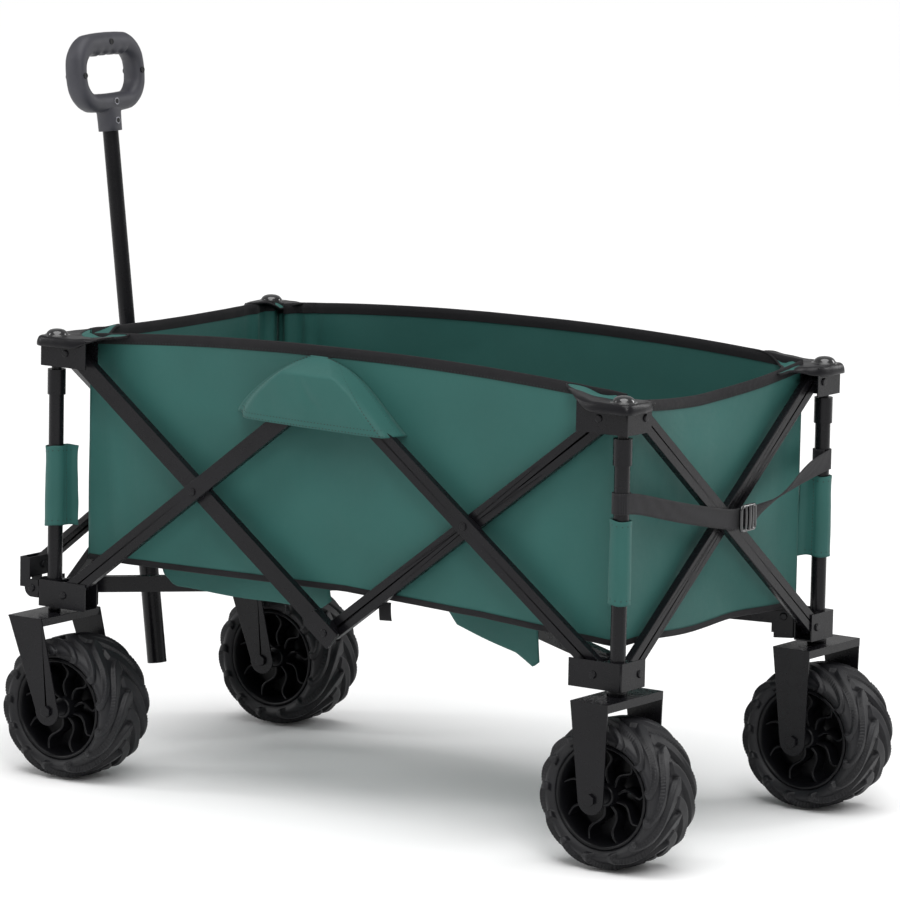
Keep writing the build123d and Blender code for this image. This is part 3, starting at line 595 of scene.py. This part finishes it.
def make_grip():
    root = grip_frame()
    shape = Shape()

    def at(out, side, up):
        return root + AXIS_OUT * out + np.array([0, side, 0]) + AXIS_UP * up

    count, ring_n = 300, 28
    ring_middle, half_deep = 47.5, 14.6
    rings = []
    for w in np.linspace(0, 2 * pi, count, endpoint=False):
        oy, oz = oval(w, 69.5, 51.5, 44)
        iy, iz = oval(w, 49.5, 25.5, 22)
        iz -= 1.5
        if sin(w) > 0.3:
            iz -= 2.6 * (0.5 - 0.5 * cos(2 * pi * (iy - 4.25) / 17.0)) * ease((35 - abs(iy)) / 5)
        cy, cz = (oy + iy) / 2, (oz + iz) / 2
        dy, dz = (oy - iy) / 2, (oz - iz) / 2
        ring = []
        for q in np.linspace(0, 2 * pi, ring_n, endpoint=False):
            p, t = superellipse(q, 1.0, half_deep, 2.35)
            seam = 0.985 if abs(t) < 0.5 else 1.0
            ring.append(at(t, cy + dy * p * seam, ring_middle + cz + dz * p * seam))
        rings.append(ring)
    shape.grid(rings, close_rows=True, close_cols=True)

    necks = []
    for up, half_y, half_x, n in ((-28.1, 13.8, 13.4, 2.6), (-27.6, 14.4, 14.0, 2.6),
                                  (-18, 14.6, 14.0, 2.6), (-6, 15.4, 14.0, 2.6), (-1, 17.6, 13.8, 2.5),
                                  (3.5, 22.0, 13.2, 2.4), (8, 24, 11.5, 2.3)):
        necks.append([at(*reversed(superellipse(w, half_y, half_x, n)), up)
                      for w in np.linspace(0, 2 * pi, 40, endpoint=False)])
    shape.grid(necks, close_cols=True, caps=True)
    obj = shape.place("grip_ring", "grip", slot="black_plastic", body="stem")
    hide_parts("handle_grip")

    screws = Shape()
    for face in (1, -1):
        for side, up, deep, r in ((0, 86, 14.9, 4.0), (-59, 46, 14.9, 4.0), (59, 46, 14.9, 4.0),
                                  (0, 9.5, 14.9, 4.6), (0, -15, 14.3, 4.6)):
            bright = 1 if up < 20 else 0
            collar = ((r, -1.2), (r, 0.2), (r - 0.3, 0.45), (r - 1.0, 0.4), (r - 1.5, 0.1))
            for profile, kind in ((collar, bright), (((r - 1.5, 0.1), (0.01, 0.1)), 0)):
                rows = [[at(face * (deep + high), side + rad * cos(w), up + rad * sin(w))
                         for w in np.linspace(0, 2 * pi, 24, endpoint=False)][::-face]
                        for rad, high in profile]
                screws.grid(rows, kind, close_cols=True)
    screws.place("grip_screws", ["rim", "screw"], slot="black_plastic", body="stem")


# ---- corner caps ------------------------------------------------------------------------------
def make_caps():
    """Low glossy domes with a thin flange, on top of the corners."""
    profile = [(16.6, 0), (17.0, 0.5), (16.9, 1.2), (16.2, 1.7), (15.0, 1.8), (14.2, 2.0), (13.7, 2.7),
               (13.0, 4.1), (11.5, 6.0), (9.2, 7.6), (6.3, 8.6), (3.2, 9.1), (0.01, 9.25)]
    for c in CORNERS:
        px, py = POST[c]
        rows = [[(px + r * cos(a), py + r * sin(a), CAP_LOW + 0.6 + z) for r, z in profile]
                for a in np.linspace(0, 2 * pi, 64, endpoint=False)]
        shape = Shape()
        shape.grid(rows, close_rows=True)
        obj = shape.place(f"cap_dome_{c}", "cap", slot="black_plastic", body=f"top_{c}")
        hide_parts(f"corner_cap_{c}")


# ---- fabric tub -----------------------------------------------------------------------------
TOP_OF = {"left": "top_rl", "rear": "top_rl", "right": "top_rr", "front": "top_fl"}


def rim_height(x):
    """Height of the side walls' top edge along X."""
    t = (x - X_MID) / 395
    return Z_RIM + 10.5 - 17 * abs(t) ** 2.2 + 2.5 * t


def end_rim_height(y, rear):
    t = y / Y_SIDE
    if rear:
        return Z_RIM - 26 + 17 * abs(t + 0.12) ** 1.6
    return Z_RIM - 6 + 4 * abs(t) ** 2


def low_edge(x):
    """Height of the walls' bottom edge along X."""
    t = (x - X_FRONT) / (X_REAR - X_FRONT)
    return float(np.interp(t, [0, 0.25, 0.5, 0.75, 1], [273, 276, 279, 271, 258]))


def wall_slack(u, z, seed):
    """How far a wall's cloth stands out of its plane, in mm, at u along it and height z."""
    low = rough_at(u, seed * 170, z, 170, seed) * 4.6
    mid = rough_at(u, seed * 90, z * 0.55, 60, seed + 3) * 2.8
    drag = sin(0.021 * u + 0.013 * z + seed) * 0.9
    return low + mid + drag


def bind(line_points, outward, half_wide, thick=1.5):
    """A folded tape over a cloth's edge: cross sections round the line, tape depth half_wide * 2."""
    rows = []
    for p, n in zip(np.asarray(line_points, float), np.asarray(outward, float)):
        down = np.array([0, 0, -1.0])
        rows.append([p + n * thick + down * 2 * half_wide, p + n * (thick + 0.3) + down * half_wide,
                     p + n * thick * 0.9 - down * 0.2, p - down * 1.2, p - n * thick * 0.9 - down * 0.2,
                     p - n * (thick + 0.3) + down * half_wide, p - n * thick + down * 2 * half_wide])
    return np.array(rows)


def side_wall(way):
    """The left (-1) or right (+1) wall's sheet, as a grid of points; add_wall gives it the rim tape, bottom
    tape and stitches.
    """
    name = "left" if way < 0 else "right"
    cols, rows = 190, 64
    xs = np.linspace(X_FRONT + 1.5, X_REAR - 1.5, cols)
    half = (X_REAR - X_FRONT) / 2
    pts = np.zeros((cols, rows, 3))
    for i, x in enumerate(xs):
        top, low = rim_height(x), low_edge(x)
        for j, t in enumerate(np.linspace(0, 1, rows)):
            z = low + (top - low) * t
            edge = min(1.0, (half - abs(x - X_MID)) / 60)
            belly = 4.5 * sin(pi * min(1, t * 1.02)) * ease(edge)
            slack = wall_slack(x, z, 1.7 if way < 0 else 5.2)
            slack *= (0.35 + 0.65 * ease(edge)) * (0.4 + 0.6 * sin(pi * t))
            fold = 0.0
            for corner, s in ((X_FRONT, 1), (X_REAR, -1)):
                d = s * (x - corner)
                pull = exp(-d / 90) * (1 - t)
                fold += pull * 1.6 * sin(d * 0.12 + z * 0.02)
                crease = exp(-((d - 26 - 60 * (1 - t)) / 14) ** 2) * t * 1.8
                fold -= crease
            if way > 0:
                d = x - X_FRONT
                fold += 8.5 * exp(-(d / 46) ** 2) * ease(t * 1.3) * sin(d * 0.21 + 0.6)
            out = Y_SIDE - 1.4 - 3.0 * ease(1 - edge) + min(belly * 0.35, 1.5) + min(slack + fold, 1.2)
            in_limit = Y_SIDE - 16
            pts[i, j] = (x, way * max(out, in_limit), z)
    return name, pts


def add_wall(name, pts, out_dir):
    """Places a wall's cloth, its tapes and its stitching, and lets them fold with the frame."""
    cloth = Shape()
    order = pts if out_dir[0] + out_dir[1] > 0 else pts[::-1]
    cloth.grid(order, 0)
    obj = cloth.place(f"tub_wall_{name}", ["cloth", "thread"], slot="tub_cloth")
    thicken(obj, 1.0)

    trim = Shape()
    n = np.tile(np.array([*out_dir, 0.0]), (len(pts), 1))
    top, low = pts[:, -1].copy(), pts[:, 0].copy()
    trim.grid(bind(top + [0, 0, 0.8], n, 6.3), 0)
    bottom = bind(low * [1, 1, -1], n, 3.4) * [1, 1, -1]
    trim.grid(bottom[::-1], 0)
    for drop in (10.6, 9.2):
        trim.dashes(top + n * 1.9 - [0, 0, drop], 1, normal=(*out_dir, 0), lift=0.25, wide=0.5)
    tape = trim.place(f"tub_binding_{name}", ["binding", "thread"], slot="webbing")
    for o in (obj, tape):
        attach(o, TOP_OF[name])
        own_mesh(o)
    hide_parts(f"tub_{name}")


def end_wall(rear):
    name = "rear" if rear else "front"
    cols, rows = 110, 60
    ys = np.linspace(-(Y_SIDE - 3.5), Y_SIDE - 3.5, cols)
    pts = np.zeros((cols, rows, 3))
    plane, out = (X_REAR, 1) if rear else (X_FRONT, -1)
    for i, y in enumerate(ys):
        top = end_rim_height(y, rear)
        low = low_edge(plane) + (2.0 * sin(y * 0.03) if rear else 0)
        for j, t in enumerate(np.linspace(0, 1, rows)):
            z = low + (top - low) * t
            edge = ease((Y_SIDE - abs(y)) / 50)
            slack = wall_slack(y, z, 8.1 if rear else 11.3) * edge * (0.4 + 0.6 * sin(pi * t))
            inward = 4.0 * sin(pi * t) * edge
            fold = 0.0
            if rear:
                inward += 9.0 * ease((t - 0.72) / 0.28) * hump(y, -20, 120)
            else:
                d = Y_SIDE - y
                fold = 8.5 * exp(-(d / 50) ** 2) * ease(t * 1.2) * sin(d * 0.2)
            depth = 2.0 + inward - min(slack, 1.0) - min(fold, 1.0)
            pts[i, j] = (plane - out * max(depth, 0.8), y, z)
    return name, pts


def make_walls():
    for way in (-1, 1):
        name, pts = side_wall(way)
        add_wall(name, pts, (0, way))
    for rear in (False, True):
        name, pts = end_wall(rear)
        add_wall(name, pts, (1 if rear else -1, 0))


def make_floor():
    """The tub's bottom in four quarters, each on its own floor arm."""
    half_y = Y_SIDE - 4
    for c in CORNERS:
        sx, sy = INWARD[c]
        x0 = (X_FRONT if sx > 0 else X_REAR) + sx * 3.5
        cols, rows = 70, 36
        pts = np.zeros((cols, rows, 3))
        for i, x in enumerate(np.linspace(x0, X_MID, cols)):
            for j, y in enumerate(np.linspace(-sy * half_y, 0, rows)):
                near = min(abs(x - x0), abs(abs(y) - half_y))
                sag = -2.2 * ease(near / 60) + 1.3 * rough_at(x, y, 0, 80, 2.0)
                z = Z_FLOOR - 0.6 + min(sag, 0.6)
                z += (low_edge(x) + 8 - Z_FLOOR) * exp(-near / 12) * (low_edge(x) < 274)
                pts[i, j] = (x, y, max(z, Z_FLOOR - 3.6) if near > 30 else z)
        shape = Shape()
        shape.grid(pts if sx * sy > 0 else pts[::-1], 0)
        obj = shape.place(f"tub_base_{c}", ["cloth"], slot="tub_cloth")
        thicken(obj, 1.2)
        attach(obj, f"arm_{c}")
        hub = middle("floor_hub")
        d = np.array([hub[0] - POST[c][0], hub[1] - POST[c][1]])
        d /= np.linalg.norm(d)
        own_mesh(obj)
        if c == "fl":
            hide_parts("tub_floor")


def make_flaps():
    """The stitched pockets over the top middle joints of both sides."""
    for way, name in ((-1, "left"), (1, "right")):
        cols, rows = 64, 44
        pts = np.zeros((cols, rows, 3))
        wall = Y_SIDE + 0.6
        top_joint = Z_RIM - 29
        proud = abs(box(f"side_bar_{name}_front_low")[0 if way < 0 else 1][1]) + 3.0 - wall
        z0, z1 = top_joint - 53, top_joint + 28
        for j, t in enumerate(np.linspace(0, 1, rows)):
            left = -158 + 98 * t ** 1.4 + 12 * t ** 7
            right = 98 - 86 * t ** 0.95 - 36 * t ** 6
            for i, s in enumerate(np.linspace(0, 1, cols)):
                x = X_MID + left + (right - left) * s
                z = z0 + (z1 - z0) * t - 5.0 * (s - 0.2) * (1 - t)
                near = min(ease((x - X_MID - left) / (44 - 24 * t)),
                           ease((X_MID + right - x) / (12 - 3 * t)))
                lift = near * (1 - 0.12 * (1 - t) * (2 * s - 1) ** 2)
                reach = proud * lift * (1 - ease((t - 0.76) / 0.24))
                pleat = -3.0 * exp(-((s - 0.7 + 0.3 * t) / 0.05) ** 2) * ease((t - 0.2) / 0.3) * (1 - t)
                wob = 1.0 * rough_at(x, z, way * 40, 24, 4.0) * lift
                pts[i, j] = (x, way * (wall + max(0.5, reach + (pleat + wob) * lift)), z)
        shape = Shape()
        shape.grid(pts if way > 0 else pts[::-1], 0)
        n = (0, way, 0)
        for inset in (1, 3):
            shape.dashes(pts[inset], 1, normal=n)
            shape.dashes(pts[-1 - inset], 1, normal=n)
        shape.dashes(pts[1:-1, 4], 1, normal=n)
        shape.dashes(pts[1:-1, 1], 1, normal=n)
        obj = shape.place(f"joint_flap_{name}", ["cloth", "thread"], slot="tub_cloth")
        thicken(obj, 0.9)
        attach(obj, TOP_OF[name])
        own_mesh(obj)


def corner_rise(du, dv, x, y, c):
    """How far a corner's cloth climbs to meet the tops of the two walls, du and dv from the post."""
    along_side = ease((du - 24) / 58) * (rim_height(x) - 2.5 - CAP_LOW)
    along_end = ease((dv - 24) / 52) * (end_rim_height(y, c[0] == "r") - 2.5 - CAP_LOW)
    inner = 4.5 * ease((min(du, dv) - 14) / 18)
    return along_side + along_end + inner


def make_corners():
    """At each corner a green tab from the rim to the cap, with the black vinyl patch over it."""
    for c in CORNERS:
        px, py = POST[c]
        sx, sy = INWARD[c]
        side_reach, end_reach = 96.0, 86.0
        end_inset = abs((X_FRONT if sx > 0 else X_REAR) - px)
        side_inset = abs(py) - Y_SIDE
        outline = [(-18, -6), (-17.5, -13), (-13, -17.5), (-6, -19.5), (20, -20.5), (48, -12), (72, 6),
                   (side_reach, side_inset - 1), (66, side_inset + 3), (44, side_inset + 12),
                   (end_inset + 14, side_inset + 30), (end_inset, end_reach),
                   (8, 66), (-8, 46), (-18.5, 22), (-19, 6)]
        ring = smooth_line([(u, v, 0) for u, v in outline] + [(*outline[0], 0)], 97)[:-1, :2]
        rows = []
        steps = np.linspace(0, 1, 16)
        for s in steps:
            row = []
            for u, v in ring:
                du, dv = u * s, v * s
                d = hypot(du, dv)
                z = CAP_LOW - 0.2
                toward = max(du, dv)
                rise = corner_rise(du, dv, px + sx * du, py + sy * dv, c)
                droop = -9.5 * ease((s - 0.72) / 0.28) * (1 - ease((toward - 30) / 40))
                wob = 1.2 * rough_at(du, dv, px * 0.1 + py * 0.03, 16, 7.0)
                wob *= ease((d - 18) / 12) * ease((75 - toward) / 30)
                row.append((px + sx * du, py + sy * dv, z + rise + droop + wob))
            rows.append(row)
        rows = np.array(rows)
        if sx * sy < 0:
            rows = rows[:, ::-1]
        shape = Shape()
        shape.grid(rows, 0, close_cols=True)
        obj = shape.place(f"corner_tab_{c}", ["cloth", "thread"], slot="tub_cloth")
        thicken(obj, 1.0)
        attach(obj, f"top_{c}")

        tape = Shape()
        edge = np.vstack([rows[-1], rows[-1][:1]])
        tape.grid(tube_line(edge, 1.5, 8) + [0, 0, 0.2], 0, close_cols=True)
        tape.place(f"corner_tape_{c}", ["binding"], slot="webbing", body=f"top_{c}")

        patch_line = [(-20.5, -9), (-19.5, -15.5), (-15, -19.5), (-8, -21), (18, -21.5), (40, -19.5),
                      (62, -11), (84, 8), (60, 10), (36, 17), (22, 27), (14, 40), (8, 62), (-6, 50),
                      (-17, 36), (-20.5, 18), (-21, 4)]
        patch = smooth_line([(u, v, 0) for u, v in patch_line] + [(*patch_line[0], 0)], 97)[:-1, :2]
        rows = []
        for s in (0, 0.2, 0.4, 0.55, 0.68, 0.78, 0.84, 0.89, 0.93, 0.96, 0.98, 0.992, 1.0):
            row = []
            for u, v in patch:
                du, dv = u * s, v * s
                z = CAP_LOW + 0.9
                toward = max(du, dv)
                rounded = 1 - (1 - min(1.0, max(0.0, (s - 0.80) / 0.2)) ** 2.0) ** 0.5 if s < 1 else 1.0
                droop = -11.5 * rounded * (1 - ease((toward - 34) / 44))
                rise = corner_rise(du, dv, px + sx * du, py + sy * dv, c)
                wob = 0.9 * rough_at(du, dv, px * 0.07, 15, 2.0) * ease((hypot(du, dv) - 17) / 8)
                row.append((px + sx * du, py + sy * dv, z + rise + droop + wob))
            rows.append(row)
        rows = np.array(rows)
        if sx * sy < 0:
            rows = rows[:, ::-1]
        shape = Shape()
        shape.grid(rows, 0, close_cols=True)
        obj = shape.place(f"corner_patch_{c}", ["vinyl"], slot="webbing")
        thicken(obj, 1.3, 0.3)
        add_modifier(obj, "SUBSURF", levels=1, render_levels=1)
        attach(obj, f"top_{c}")


def make_sleeves():
    """Stitched loops of cloth round the posts, sewn to the tub's corners."""
    for c in ("fl", "rl", "rr"):
        px, py = POST[c]
        sx, sy = INWARD[c]
        z0, z1 = 316.0, 417.0
        r = 12.6
        path = []
        tail = 28.0
        turn = atan2(1.0, 0.95)
        start, end = turn + 0.62, turn + 2 * pi - 0.62
        path.append((cos(turn) * tail - sin(turn) * 0.9, sin(turn) * tail + cos(turn) * 0.9))
        path.append((cos(turn) * 19 - sin(turn) * 2.0, sin(turn) * 19 + cos(turn) * 2.0))
        for a in np.linspace(start, end, 26):
            path.append((r * cos(a), r * sin(a)))
        path.append((cos(turn) * 19 + sin(turn) * 2.0, sin(turn) * 19 - cos(turn) * 2.0))
        path.append((cos(turn) * tail + sin(turn) * 0.9, sin(turn) * tail - cos(turn) * 0.9))
        line = smooth_line([(u, v, 0) for u, v in path], 90)
        rows = []
        for z in np.linspace(z0, z1, 34):
            flare = 1 + 0.03 * sin((z - z0) * 0.05) + 0.05 * exp(-(z - z0) / 8) + 0.06 * exp(-(z1 - z) / 8)
            row = []
            for u, v, _ in line:
                k = flare + 0.03 * rough_at(u, v, z, 22, 3.0)
                row.append((px + sx * u * k, py + sy * v * k, z + 1.2 * sin(u * 0.2)))
            rows.append(row)
        rows = np.array(rows)
        shape = Shape()
        shape.grid(rows if sx * sy < 0 else rows[:, ::-1], 0)
        for row in (2, 31):
            for a in range(6, 84, 6):
                seg = rows[row, a:a + 6]
                n = seg.mean(axis=0) - [px, py, seg[0][2]]
                n[2] = 0
                n /= np.linalg.norm(n)
                shape.dashes(seg, 1, normal=n)
        for col in (16, 74):
            n = rows[0, col] - [px, py, rows[0, col][2]]
            n[2] = 0
            n /= np.linalg.norm(n)
            shape.dashes(rows[:, col], 1, normal=n)
        obj = shape.place(f"post_sleeve_{c}", ["cloth", "thread"], slot="tub_cloth")
        thicken(obj, 1.0)
        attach(obj, f"base_{c}")


def make_under():
    """Loose ends of cloth under the tub: the sewn-on pouch's edge and tip, and a small tab."""

    def hanging(name, x0, x1, y, top, low_line, body, mat="cloth", depth=10.0):
        cols, rows = 40, 14
        pts = np.zeros((cols, rows, 3))
        for i, t in enumerate(np.linspace(0, 1, cols)):
            x = x0 + (x1 - x0) * t
            low = float(np.interp(t, *low_line))
            for j, s in enumerate(np.linspace(0, 1, rows)):
                z = top + (low - top) * s
                pts[i, j] = (x, y + depth * s * s * 0.4 + 2.0 * sin(x * 0.05 + s) * s, z)
        shape = Shape()
        shape.grid(pts, 0)
        obj = shape.place(name, [mat], slot="tub_cloth" if mat == "cloth" else "webbing")
        thicken(obj, 0.9)
        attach(obj, body)
        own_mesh(obj)

    left = -Y_SIDE
    hanging("under_pouch_edge", -278, -18, left + 26, 276,
            ([0, 0.06, 0.5, 0.94, 1], [262, 248, 245, 246, 258]), "top_rl")
    hanging("under_pouch_tip", 140, 276, left + 48, 276,
            ([0, 0.1, 0.75, 0.93, 1], [262, 246, 222, 207, 214]), "top_rl")
    hanging("under_tab", 66, 84, left + 12, 270, ([0, 1], [246, 247]), "top_rl", "binding")


# ---- strap and buckle -------------------------------------------------------------------------
def make_strap():
    px, py = POST["rl"]
    half = 12.5
    buckle = middle("strap_buckle")
    x_face = box("strap_buckle")[0][0] - 1.2
    z_mid, z_post = buckle[2] + 3.0, buckle[2] + 49.0
    r = 11.0

    def band(name, path, body, keep_post, flat_len):
        """path rows: centre (x, y, z), tilt of the band's height direction toward +X, half width."""
        shape = Shape()
        rows = []
        for x, y, z, tilt, wide in path:
            up = np.array([sin(tilt), 0, cos(tilt)])
            rows.append([np.array([x, y, z]) + up * wide * s for s in np.linspace(-1, 1, 9)])
        rows = np.array(rows)
        shape.grid(rows, 0)
        obj = shape.place(name, ["webbing"], slot="webbing")
        thicken(obj, 1.5)
        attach(obj, body)
        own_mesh(obj)
        return obj

    def dense(points, count):
        p = np.array(points, float)
        line = smooth_line(p[:, :3], count)
        along = np.linspace(0, 1, count)
        d = np.concatenate([[0], np.cumsum(np.linalg.norm(np.diff(p[:, :3], axis=0), axis=1))])
        tilt = np.interp(along, d / d[-1], p[:, 3])
        wide = np.interp(along, d / d[-1], p[:, 4])
        return [(*q, t, w) for q, t, w in zip(line, tilt, wide)]

    def loop(cy, way):
        points = []
        for a in np.linspace(radians(8), radians(-318), 19):
            points.append((px + r * cos(a), cy + way * r * sin(a), z_post, 0.0, half))
        return points

    left = loop(py, 1)[::-1]
    left += [(px + 12.6, py + 30, z_post - 5, 0.05, half), (x_face - 0.8, py + 110, z_post - 24, 0.1, half),
             (x_face, -18, z_mid + 2.5, 0.05, half), (x_face, 18, z_mid, 0.0, half * 0.98)]
    band("strap_left", dense(left, 90), "base_rl", POST["rl"][1], 330)
    right = [(x_face + 1.9, 8, z_mid + 0.5, 0.0, half * 0.98), (x_face + 2.2, 36, z_mid + 1, 0.2, half),
             (x_face + 3.5, 66, z_mid + 8, 0.75, half), (x_face + 3, 96, z_mid + 17, 0.95, half),
             (x_face - 1, 134, z_mid + 28, 0.55, half), (px + 14, 172, z_post - 8, 0.2, half)]
    right += loop(-py, -1)
    band("strap_right", dense(right, 90), "base_rr", POST["rr"][1], 330)

    # ladder buckle: a rounded frame with three bars, lying on the band
    shape = Shape()
    low, high = box("strap_buckle")
    cy, cz = (low[1] + high[1]) / 2, z_mid
    wide, tall = (high[1] - low[1]) / 2 - 2.4, (high[2] - low[2]) / 2 - 2.4
    corner = 4.0
    line = []
    for qy, qz, a0 in ((1, 1, 0), (-1, 1, 90), (-1, -1, 180), (1, -1, 270)):
        for a in np.linspace(radians(a0), radians(a0 + 90), 7):
            line.append((0, cy + qy * (wide - corner) + corner * cos(a),
                         cz + qz * (tall - corner) + corner * sin(a)))
    line.append(line[0])
    tilt = 0.12
    pts = np.array(line)
    pts[:, 0] = high[0] - 1.6 + (pts[:, 1] - cy) * tilt * -0.35
    shape.grid(tube_line(pts, 2.3, 12), 0, close_cols=True)
    for off in (-7.0, 0.5, 8.0):
        proud = 0 if off == 0.5 else -0.6
        bar = np.array([(high[0] + proud + 0.8 * (1 - s ** 2), cy + off, cz + s * tall)
                        for s in np.linspace(-1, 1, 9)])
        shape.grid(tube_line(bar, 1.9 if off != 0.5 else 2.3, 10), 0, close_cols=True)
    obj = shape.place("ladder_buckle", ["cap"], slot="black_plastic", body="base_rl")
    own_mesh(obj)
    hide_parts("strap_buckle")
    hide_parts("rear_strap")


# ---- stage ----------------------------------------------------------------------------------
def make_stage():
    size = 14000.0
    floor = place("studio_floor", [(-size, -size, 0), (size, -size, 0), (size, size, 0), (-size, size, 0)],
                  [[0, 1, 2, 3]], "floor", smooth=False)
    world = bpy.data.worlds.new("studio")
    bpy.context.scene.world = world
    world.use_nodes = True
    back = world.node_tree.nodes["Background"]
    back.inputs["Color"].default_value = (1, 1, 1, 1)
    seen = world.node_tree.nodes.new("ShaderNodeLightPath").outputs["Is Camera Ray"]
    level = world.node_tree.nodes.new("ShaderNodeMapRange")
    level.inputs["To Min"].default_value = 0.42
    level.inputs["To Max"].default_value = 1.05
    world.node_tree.links.new(seen, level.inputs["Value"])
    world.node_tree.links.new(level.outputs[0], back.inputs["Strength"])
    bpy.context.scene.view_settings.view_transform = "Standard"
    sky = bpy.data.lights.new("sky", "SUN")
    sky.energy = 2.15
    sky.angle = radians(55)
    look_from("sky", sky, (0.6, -0.8, 5), Vector((-0.12, 0.16, -1)))
    area_light("key", (3.2, -3.4, 3.6), (0, 0, 0.4), (1.6, 1.6), 70)
    area_light("side", (-4.2, -2.2, 2.4), (0, 0, 0.4), (0.8, 2.6), 45)
    area_light("back", (2.5, 4.4, 2.6), (0, 0, 0.5), (1.2, 2.6), 60)


finish_cad()
set_camera()
make_stage()
make_wheels()
make_grip()
make_caps()
make_walls()
make_floor()
make_flaps()
make_corners()
make_sleeves()
make_under()
make_strap()

bpy.context.view_layer.update()
